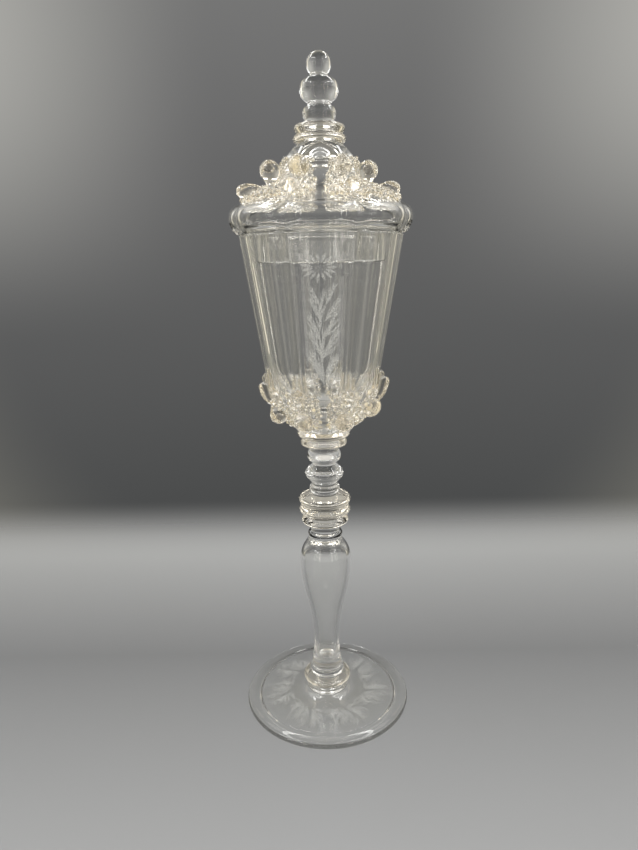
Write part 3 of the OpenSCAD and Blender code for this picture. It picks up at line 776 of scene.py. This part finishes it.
def drop_chain(start, bend, tip, start_r, tip_r, count=16):
    """Balls along a curve that make a drawn-out drop: a thin neck and a round end, in (radius, height)."""
    t = np.linspace(0, 1, count)[:, None]
    line = bent_line(start, bend, tip, t)
    radii = start_r + (tip_r - start_r) * smooth_step(t[:, 0] * 1.15 - 0.15) ** 1.3
    return [(r, 0.0, z, b) for (r, z), b in zip(line, radii)]


def pincered_band(points, normals, half_ws, heights, rng):
    """Balls of a rope laid up a wall and nipped all over with pincers, as (radius, side, height, size).

    Its half width and its height above the wall are given at even stages from its lower to its upper end.
    """
    share = np.linspace(0, 1, len(points))
    widths, stands = (np.interp(share, np.linspace(0, 1, len(s)), s) for s in (half_ws, heights))
    core_lift, core_fall = 0.1, 0.6
    balls = []
    for (r, z), (nr, nz), half_w, stand in zip(points, normals, widths, stands):
        for side in (-0.75, -0.4, 0, 0.4, 0.75):
            size = stand * (1 - core_fall * abs(side))
            balls.append((r + core_lift * nr, side * half_w, z + core_lift * nz, size))
    nip, edges_free, arch = 2.8, 1.6, 1.25
    bead_r, bead_spread, wander, stand_spread = 1.3, 0.3, 0.45, (-0.4, 0.6)
    rows = max(2, int(np.hypot(*np.diff(points, axis=0).T).sum() / nip))
    for k in range(rows + 1):
        at = k / rows * (len(points) - 1)
        i = min(int(at), len(points) - 2)
        f = at - i
        r, z = points[i] * (1 - f) + points[i + 1] * f
        nr, nz = normals[i] * (1 - f) + normals[i + 1] * f
        half_w, height = (np.interp(at, range(len(points)), s) for s in (widths, stands))
        shrink = min(1, 0.45 + 0.35 * height)
        across = int((2 * half_w - edges_free) / nip) + 1
        stagger = 0.25 if k % 2 else -0.25
        for side in (np.arange(across) - (across - 1) / 2 + stagger) * nip:
            stand = height * math.cos(side / half_w * arch) + rng.uniform(*stand_spread) * shrink
            aside = side + rng.uniform(-wander, wander)
            size = (bead_r + rng.uniform(-bead_spread, bead_spread)) * shrink
            balls.append((r + stand * nr, aside, z + stand * nz, size))
    return balls


def place_balls(balls, angle, lift):
    """Turns balls from the trail's upright plane to their place round the goblet."""
    placed = []
    for r, side, z, size in balls:
        turned = angle + side / r
        placed.append((r * math.cos(turned), r * math.sin(turned), z + lift, size))
    return placed


def covered(points, outside, trails, reach_mm):
    """For spots just off a wall's outside, whether one of the trails lies over them."""
    hidden = np.zeros(len(points), bool)
    for tree, centre in trails:
        near = outside & (np.linalg.norm(points - centre, axis=1) < reach_mm)
        for i in np.flatnonzero(near & ~hidden):
            spot, normal, _, _ = tree.find_nearest(Vector(points[i]))
            hidden[i] = (Vector(points[i]) - spot).dot(normal) < 0
    return hidden


def face_spots(points, faces, off=0.25):
    """A spot just off the middle of each face, on its outer side."""
    a, b, c = (points[[face[k] for face in faces]] for k in range(3))
    normal = np.cross(b - a, c - a)
    return (a + c) / 2 + off * normal / (np.linalg.norm(normal, axis=1)[:, None] + 1e-12)


def trail_angle(i):
    """Direction of the crease that carries trail i."""
    return math.radians(360 * (i - 0.5) / lobes - 90)


def lay_trail(part, band, drawn, angle, lift, wall):
    """Makes a trail of the balls of its band and of those drawn out of it, seated on the wall.

    Gives its skin, which tells what it covers, and its middle.
    """
    band, drawn = (place_balls(balls, angle, lift) for balls in (band, drawn))
    points, faces = gather_skin(band + drawn)
    joints = seat_on(wall, points, faces)
    made = make_piece(f"{part}_glass", points, faces, joints, trail_glass, part)
    mark_nips(made, drawn)
    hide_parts(part)
    return BVHTree.FromPolygons(points.tolist(), faces), points.mean(axis=0)


bowl_outside = bowl_rows < outside_rows
bowl_wall = BVHTree.FromPolygons(bowl_points.tolist(), [f for f, out in zip(bowl_faces, bowl_outside) if out])
band_low, band_high, band_stages = 5, 31, 11
band_half_ws, band_heights = (7.1, 11, 11.4), (1.0, 3.6, 2.4)
ball_root, ball_bend, ball_at, ball_neck_r, ball_r = (30, 15), (33, 13), (34.8, 12), 3, 6.1
# A ball starts a little larger, by what the flow of the skin takes off it.
flow_loss = 1.03
drop_root, drop_bend, drop_tip, drop_neck_r, drop_tip_r = (34, 21), (41, 22), (43.4, 31), 1.9, 3.3
finger_root, finger_bend, finger_out, finger_root_r, finger_tip_r = (36.5, 27), (39, 33), 40.2, 1.7, 1.1
finger_sides, finger_top, finger_spread = (-5, 0.5, 5), 43, 2.5
finger_lean, finger_h = 0.25, 14
bowl_trail_reach, bowl_trail_seed = 26, 40
# No two were drawn out alike: how far each ball and each drop strays outward and upward.
ball_strays = ((0, 0), (0.5, 6.3), (0, 2), (-1, 0), (0, 1), (-0.5, -0.5), (-2.2, 1.2), (0, 0.5))
drop_strays = ((0, 1), (0.5, 5), (0.6, 3.5), (0, 2), (-0.5, 1), (0, 2), (-0.6, 2.2), (0, 2))
band_points, band_normals = along_wall(bowl_outline[1:outside_rows], band_low, band_high, band_stages)
bowl_trails = []
for i, (ball_stray, drop_stray) in enumerate(zip(ball_strays, drop_strays), 1):
    rng = np.random.default_rng(bowl_trail_seed + i)
    band = pincered_band(band_points, band_normals, band_half_ws, band_heights, rng)
    drawn = drop_chain(ball_root, ball_bend, np.add(ball_at, ball_stray), ball_neck_r, ball_r * flow_loss, 8)
    band = clear_of(band, drawn[-1])
    drawn += drop_chain(drop_root, drop_bend, np.add(drop_tip, drop_stray), drop_neck_r, drop_tip_r)
    for side in finger_sides:
        finger_tip = (finger_out, finger_top + rng.uniform(-finger_spread, finger_spread))
        finger = drop_chain(finger_root, finger_bend, finger_tip, finger_root_r, finger_tip_r, 18)
        for r, _, z, size in finger:
            drawn.append((r, side * (1 - finger_lean * (z - finger_root[1]) / finger_h), z, size))
    bowl_trails.append(lay_trail(f"bowl_trail_{i}", band, drawn, trail_angle(i), bowl_low, bowl_wall))

# The bowl's wall is joined to the trails, so its own face under them doesn't show.
trail_cover = covered(face_spots(bowl_points, bowl_faces), bowl_outside, bowl_trails, bowl_trail_reach)
bowl_joints = (bowl_rows == 0) | trail_cover
bowl_piece = make_piece("bowl_glass", bowl_points, bowl_faces, bowl_joints, bowl_glass, "bowl")
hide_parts("bowl")


# Engraving of the bowl
# One tall flower spray on the front panel, a blossom over a stalk of lance leaves, ground with small wheels.
# It is a common folk pattern, cut free-hand, so no two leaves are alike.
def on_bowl(side, along, lift):
    """Places cuts on the front panel: millimetres aside of its middle, and above the bowl's base."""
    wall = cup_r + (along - cup_h) * wall_slope
    radius = np.where(along > cup_h, wall, cup_side(np.minimum(along, cup_h)))
    angles = -math.pi / 2 + side / radius
    pressed = crease(angles, crease_sharp) * bowl_crease_depth(along)
    radii = radius + waver(angles, radius, along) - pressed + lift
    return np.column_stack([radii * np.cos(angles), radii * np.sin(angles), bowl_low + along])


fresh_cuts = ground_glass("Soda-lime glass, wheel-ground matte", 0.10, 0.38)
stalk_root, blossom = (0.6, 37), np.array([-1.6, 110])
petals, petal_from, petal_bend, petal_to, petal_more, petal_w = 15, 3.6, 7, 10.8, 1.4, 1.9
blossom_squash = 0.74
seeds, seed_turn, seed_step, seed_half = 9, 2.4, 0.9, (0.4, 0)
cuts = [
    blade(stalk_root, (-3.5, 66), blossom - (0, 4), width=0.8, blunt=0.5),
    blade(stalk_root, (-2.6, 64), (2.5, 92), width=0.7, blunt=0.5),
]
for k in range(petals):
    turn = 2 * math.pi * k / petals
    ray = np.array([math.cos(turn), blossom_squash * math.sin(turn)])
    petal_tip = blossom + (petal_to + petal_more * (k % 2)) * ray
    cuts.append(blade(blossom + petal_from * ray, blossom + petal_bend * ray, petal_tip, petal_w, blunt=1.1))
for k in range(seeds):
    ray = np.array([math.cos(seed_turn * k), math.sin(seed_turn * k)])
    seed = blossom + ray * seed_step * math.sqrt(k)
    cuts.append(blade(seed - seed_half, seed, seed + seed_half, width=0.8, blunt=1.0))
# Each leaf's root, bend and tip, and its width.
for root, bend, tip, width in (
    ((0.4, 38), (-2, 48), (-10, 68), 4.0), ((0.2, 43), (-5, 52), (-11.5, 59), 3.0),
    ((-0.6, 56), (-4, 66), (-11, 76), 3.6), ((-1.2, 66), (-6, 74), (-10.5, 87), 3.4),
    ((-1.6, 79), (-4, 88), (-9.5, 94), 3.0), ((-1.6, 88), (-6, 93), (-7.5, 101), 2.6),
    ((0.6, 39), (5, 46), (7.5, 64), 3.8), ((0.6, 46), (7, 52), (11, 58), 2.8),
    ((-0.4, 55), (5, 62), (11.5, 80), 4.0), ((0.4, 68), (7, 75), (10, 92), 3.6),
    ((1.0, 78), (7, 86), (12.5, 95), 3.0), ((2.2, 88), (4, 95), (9.5, 103), 2.8),
    ((0, 52), (-2, 64), (2.5, 78), 3.0), ((-1.4, 72), (-3, 82), (2.5, 90), 2.8),
    ((-1.6, 84), (-1, 92), (2.5, 99), 2.2),
):
    cuts += feather(root, bend, tip, width)
engrave("bowl_engraving", cuts, on_bowl, "bowl", fresh_cuts)


# Cover
# The loose lid: a blown dome and a hollow rolled rim, pinched between its eight lobes, over a flat seat.
# A flange below the seat drops into the mouth of the bowl and keeps the cover in place.
flange_low, lid_top, roll_r = extent("lid")
flange_low -= seat_z
lid_top -= seat_z
lid_t = 2.4
seat_r, roll_up, roll_round = rim_r + 1, 10, 8.5
shoulder = np.array([32.0, 26.0])
dome_r, dome_up, dome_top_r, cap_t = 26.4, 31, 13.3, 5
flange_r, flange_t = 42.9, 2.4
pinch_depth, pinch_sharp, pinch_from_r, pinch_full_r = 3, 5, 44, roll_r - 2
roll_centre = np.array([roll_r - roll_round, roll_up])


def lid_skin(wall, top, top_r, top_drop):
    """Outline of the cover from the top of its dome down to its widest line, drawn in by a wall."""
    bend = shoulder - np.array([0.35, 0.94]) * wall
    side_r = dome_r - wall
    slope_angle = 63
    roll = arc(roll_centre, roll_round - wall, slope_angle, 0, 18)
    return np.vstack([
        bezier((top_r, top), (top_r + 4.6, top - top_drop),
               (side_r, dome_up + 11), (side_r, dome_up + 1.5), 26),
        bezier((side_r, dome_up + 1.5), (side_r, dome_up - 2), bend - (2.5, -1.6), bend, 10)[1:],
        bezier(bend, bend + (4, -1.6), roll[0] - (8, -4.1), roll[0], 22)[1:],
        roll[1:],
    ])


outer_skin = lid_skin(0, lid_top, dome_top_r, 2.4)
inner_skin = lid_skin(lid_t, lid_top - cap_t, 0.0, 0.4)
inner_skin[0, 0] = 0
flange_edge, flange_in = flange_t / 2, flange_r - flange_t
lid_outline = np.vstack([
    inner_skin,
    bezier((roll_r - lid_t, roll_up), (roll_r - lid_t, 6),
           (seat_r - 0.5, lid_t + 1.2), (seat_r - 3.5, lid_t), 12)[1:],
    np.column_stack([np.linspace(seat_r - 4.5, flange_in + 0.8, 10), np.full(10, lid_t)]),
    bezier((flange_in + 0.5, lid_t), (flange_in, lid_t), (flange_in, 1.6), (flange_in, 0), 6),
    np.column_stack([np.full(8, flange_in), np.linspace(-2, flange_low + 2, 8)]),
    arc((flange_r - flange_edge, flange_low + flange_edge), flange_edge, 180, 360, 12),
    np.column_stack([np.full(8, flange_r), np.linspace(flange_low + 2, -1, 8)]),
    bezier((flange_r, -0.6), (flange_r, 0), (flange_r + 0.2, 0), (flange_r + 0.8, 0), 5),
    np.column_stack([np.linspace(flange_r + 1.6, seat_r - 0.8, 10), np.zeros(10)]),
    bezier((seat_r - 0.4, 0), (seat_r + 0.9, 0.2), (roll_r, 5.2), (roll_r, roll_up), 16),
    outer_skin[::-1][1:],
    [[0, lid_top]],
])
outer_start = len(lid_outline) - len(outer_skin)


def press_lid(angles, row):
    """The pinches that part the rolled rim into lobes, pressed into both of its faces."""
    radius = lid_outline[row, 0]
    share = smooth_step((radius - pinch_from_r) / (pinch_full_r - pinch_from_r))
    return -pinch_depth * share * crease(angles, pinch_sharp)


lid_points, lid_faces, lid_rows = lathe(lid_outline, bowl_steps, press_lid)
lid_points[:, 2] += seat_z


# Applied trails of the cover
# The same pincered ropes, laid from the dome over its shoulder down each crease of the cover.
# A ball is drawn out half-way, and a long drop reaches out over the rolled rim.
lid_outside = lid_rows >= outer_start
lid_wall = BVHTree.FromPolygons(lid_points.tolist(), [f for f, out in zip(lid_faces, lid_outside) if out])
band_low, band_high, band_stages = 19.2, 49, 16
band_half_ws, band_heights = (14.6, 11.6, 6.8, 4.4), (1.8, 3.6, 1.6, 0.9)
ball_root, ball_bend, ball_at, ball_neck_r, ball_r = (27, 35), (30, 36), (33.6, 37.8), 3, 6.1
drop_root, drop_bend, drop_tip, drop_neck_r, drop_tip_r = (37, 26), (43, 28.5), (51, 25.2), 1.8, 4.1
lid_trail_reach, lid_trail_seed = 28, 70
ball_strays = ((0, 0), (-1.8, -1), (-0.8, 0.4), (0, -0.5), (-0.4, 0.4), (0, -0.3), (0, 0), (0.3, 0.4))
drop_strays = ((0, 0.3), (-2.6, 0.4), (-1.6, -0.4), (0.4, 0.3), (0, 0.5), (-0.6, -0.2), (0.2, 0), (0, 0.2))
band_points, band_normals = along_wall(outer_skin, band_low, band_high, band_stages)
lid_trails = []
for i, (ball_stray, drop_stray) in enumerate(zip(ball_strays, drop_strays), 1):
    rng = np.random.default_rng(lid_trail_seed + i)
    band = pincered_band(band_points, band_normals, band_half_ws, band_heights, rng)
    drawn = drop_chain(ball_root, ball_bend, np.add(ball_at, ball_stray), ball_neck_r, ball_r * flow_loss, 8)
    drawn += drop_chain(drop_root, drop_bend, np.add(drop_tip, drop_stray), drop_neck_r, drop_tip_r)
    lid_trails.append(lay_trail(f"lid_trail_{i}", band, drawn, trail_angle(i), seat_z, lid_wall))

trail_cover = covered(face_spots(lid_points, lid_faces), lid_outside, lid_trails, lid_trail_reach)
lid_joints = (lid_rows == len(lid_outline) - 2) | trail_cover
lid_piece = make_piece("lid_glass", lid_points, lid_faces, lid_joints, clear_glass, "lid")
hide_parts("lid")


# Finial
# Two wafers on the dome, then two knops and a ball, solid glass, set on one another hot.
# The ball is what finger and thumb take hold of to lift the cover.
joint_r = dome_top_r
for part, side, upper_r, finish in (
    ("lid_merese_low", wafer_side, 14.1, warm_glass),
    ("lid_merese_top", wafer_side, 8.7, warm_glass),
    ("finial_knop_low", bead_side, 7.3, clear_glass),
    ("finial_knop_mid", bead_side, 5.8, clear_glass),
):
    turn_gather(part, side, joint_r, upper_r, finish)
    joint_r = upper_r
ball_low, ball_high, ball_r = extent("finial_ball")
ball_clear, neck_angle = 0.15, -40
ball_centre = ball_high - ball_clear - ball_r
ball_skin = arc((0, ball_centre), ball_r, neck_angle, 89, 30)
turn_piece("finial_ball", np.vstack([
    [[0, ball_low]],
    bezier((joint_r, ball_low), (joint_r, ball_low + 0.9), (joint_r - 0.3, ball_low + 0.9), ball_skin[0], 8),
    ball_skin[1:],
    [[0, ball_centre + ball_r]],
]), clear_glass, [0])


# Studio
# A sheet of grey paper, with light and shade painted into its grey, that fades out behind the goblet, lamps
# in pairs at its sides, and a grey room.
# The camera stands where the photograph was taken from.
floor_size = 3000
floor_points = [(x, y, 0) for x, y in ((-1, -1), (1, -1), (1, 1), (-1, 1))]
floor_mesh = bpy.data.meshes.new("studio_floor")
floor_mesh.from_pydata((np.array(floor_points) * floor_size * MM).tolist(), [], [(0, 1, 2, 3)])
floor = add_object("studio_floor", floor_mesh)
floor_paint, floor_tree = new_material("Grey backdrop paper, painted light and shade")
depth = node(floor_tree, "ShaderNodeSeparateXYZ", {
    "Vector": node(floor_tree, "ShaderNodeTexCoord").outputs["Object"],
}).outputs["Y"]
fade_from, fade_to = 230, 420
fall_from, fall_to = -150, 300
fade = node(floor_tree, "ShaderNodeMapRange", {
    "Value": depth, "From Min": fade_from * MM, "From Max": fade_to * MM,
}, interpolation_type="SMOOTHSTEP")
fall = node(floor_tree, "ShaderNodeMapRange", {
    "Value": depth, "From Min": fall_from * MM, "From Max": fall_to * MM,
})
# Light and shade are painted into the paper's grey: pale in front, darker a little behind the goblet and
# palest far behind, where the lamps light it more or less.
painted_light_tone = node(floor_tree, "ShaderNodeValToRGB", {"Fac": fall.outputs["Result"]})
painted_light_tone.color_ramp.elements[0].color = linear("#999a9c")
painted_light_tone.color_ramp.elements[1].color = linear("#a9aaab")
painted_light_tone.color_ramp.elements.new(0.45).color = linear("#757678")
paper = node(floor_tree, "ShaderNodeBsdfPrincipled", {"Base Color": painted_light_tone.outputs["Color"], "Roughness": 0.85})
faded = node(floor_tree, "ShaderNodeMixShader", {
    "Fac": fade.outputs["Result"], 1: paper.outputs["BSDF"],
    2: node(floor_tree, "ShaderNodeBsdfTransparent").outputs["BSDF"],
})
node(floor_tree, "ShaderNodeOutputMaterial", {"Surface": faded.outputs["Shader"]})
floor_mesh.materials.append(floor_paint)

world = bpy.data.worlds.new("Grey room")
world.use_nodes = True
bpy.context.scene.world = world
sky = world.node_tree
sky.nodes.clear()
toward = node(sky, "ShaderNodeSeparateXYZ", {
    "Vector": node(sky, "ShaderNodeTexCoord").outputs["Generated"],
}).outputs
# The room is pale behind the camera and grey at the sides.
ahead = node(sky, "ShaderNodeMapRange", {"Value": toward["Y"], "From Min": -1.0, "From Max": 0.93})
around = node(sky, "ShaderNodeValToRGB", {"Fac": ahead.outputs["Result"]})
around.color_ramp.elements[0].color = linear("#e8e7e4")
around.color_ramp.elements[1].color = linear("#8a887e")
around.color_ramp.elements.new(0.25).color = linear("#b0afac")
around.color_ramp.elements.new(0.5).color = linear("#868478")
# The backdrop is dark low behind the goblet and paler upward.
height = node(sky, "ShaderNodeMapRange", {"Value": toward["Z"], "From Min": -0.35, "From Max": 1.0})
backdrop = node(sky, "ShaderNodeValToRGB", {"Fac": height.outputs["Result"]})
backdrop.color_ramp.elements[0].color = linear("#4c4d4d")
backdrop.color_ramp.elements[1].color = linear("#9a9a98")
backdrop.color_ramp.elements.new(0.36).color = linear("#686868")
behind = node(sky, "ShaderNodeMapRange", {
    "Value": toward["Y"], "From Min": 0.72, "From Max": 0.9,
}, interpolation_type="SMOOTHSTEP")
room = node(sky, "ShaderNodeMix", {
    "Factor": behind.outputs["Result"], "A": around.outputs["Color"], "B": backdrop.outputs["Color"],
}, data_type="RGBA")
# The lamps make the room paler to the left and right, above the goblet's waist; the ceiling is plain grey.
sideways = node(sky, "ShaderNodeMath", {0: toward["X"]}, operation="ABSOLUTE")
aside = node(sky, "ShaderNodeMapRange", {
    "Value": sideways.outputs["Value"], "From Min": 0.12, "From Max": 0.55,
}, interpolation_type="SMOOTHSTEP")
upper = node(sky, "ShaderNodeMapRange", {
    "Value": toward["Z"], "From Min": -0.12, "From Max": 0.3,
}, interpolation_type="SMOOTHSTEP")
lit = node(sky, "ShaderNodeMath", {
    0: aside.outputs["Result"], 1: upper.outputs["Result"],
}, operation="MULTIPLY")
lit_room = node(sky, "ShaderNodeMix", {
    "Factor": lit.outputs["Value"], "A": room.outputs["Result"], "B": linear("#b8b7b2"),
}, data_type="RGBA")
overhead = node(sky, "ShaderNodeMapRange", {
    "Value": toward["Z"], "From Min": 0.7, "From Max": 1.0,
}, interpolation_type="SMOOTHSTEP")
vault = node(sky, "ShaderNodeMix", {
    "Factor": overhead.outputs["Result"], "A": lit_room.outputs["Result"], "B": linear("#a4a4a2"),
}, data_type="RGBA")
room_light = node(sky, "ShaderNodeBackground", {"Color": vault.outputs["Result"], "Strength": 1.0})
node(sky, "ShaderNodeOutputWorld", {"Surface": room_light.outputs["Background"]})

# On each side a broad soft panel with a bright tube above it, a long thin lamp high behind, and thin upright
# strips lower down. The tubes give the round knops their small highlights, the lamps high behind draw bright
# arcs along the welt of the foot, and the strips run along the creases as lines. All in metres and degrees.
lamp_away = 0.8
goblet_middle = Vector((0, 0, 0.26))
for name, azimuth, height_angle, wide, tall, radiance, tint in (
    ("panel", 75, 43, 1.10, 0.56, 1.5, "#fffefc"),
    ("tube", 72, 52, 0.60, 0.03, 18, "#ffffff"),
    ("high_back", 133, 57, 0.62, 0.07, 8.5, "#fffefc"),
    ("strip_near", 30, 12, 0.06, 0.60, 3.2, "#fffaf2"),
    ("strip_front", 52, 12, 0.06, 0.60, 3.0, "#fffaf2"),
    ("strip_side", 79, 8, 0.05, 0.70, 0.7, "#f6ead0"),
    ("strip_far", 98, 8, 0.05, 0.70, 0.6, "#f6ead0"),
    ("strip_back", 128, 10, 0.10, 0.70, 0.8, "#f6ead0"),
):
    for hand, turned in (("left", -azimuth), ("right", azimuth)):
        lamp = bpy.data.lights.new(f"{name}_{hand}", "AREA")
        lamp.shape = "RECTANGLE"
        lamp.size, lamp.size_y = wide, tall
        lamp.energy = radiance * math.pi * wide * tall
        lamp.color = linear(tint)[:3]
        panel = add_object(lamp.name, lamp)
        side, lift = math.radians(turned), math.radians(height_angle)
        reach = Vector((math.sin(side) * math.cos(lift), -math.cos(side) * math.cos(lift), math.sin(lift)))
        panel.location = goblet_middle + lamp_away * reach
        panel.rotation_euler = (-reach).to_track_quat("-Z", "Y").to_euler()
        panel.visible_camera = False

photo_w, photo_h, photo_focal = 638, 850, 635
camera_back, camera_up, camera_side = 429.9, 330.25, -3.3
camera_pitch, camera_roll = 14.73, 0.95
lens = bpy.data.cameras.new("camera")
lens.sensor_width = 36
lens.lens = lens.sensor_width * photo_focal / max(photo_w, photo_h)
lens.clip_start = 0.01
camera = add_object("camera", lens)
camera.location = Vector((camera_side, -camera_back, camera_up)) * MM
tilt = Matrix.Rotation(math.radians(90 - camera_pitch), 4, "X")
roll = Matrix.Rotation(math.radians(-camera_roll), 4, "Z")
camera.rotation_euler = (tilt @ roll).to_euler()
bpy.context.scene.camera = camera

scene = bpy.context.scene
scene.view_settings.view_transform = "Standard"
scene.cycles.max_bounces = 40
scene.cycles.transmission_bounces = 36
scene.cycles.glossy_bounces = 12
scene.cycles.transparent_max_bounces = 64
scene.cycles.caustics_refractive = False
scene.cycles.caustics_reflective = False
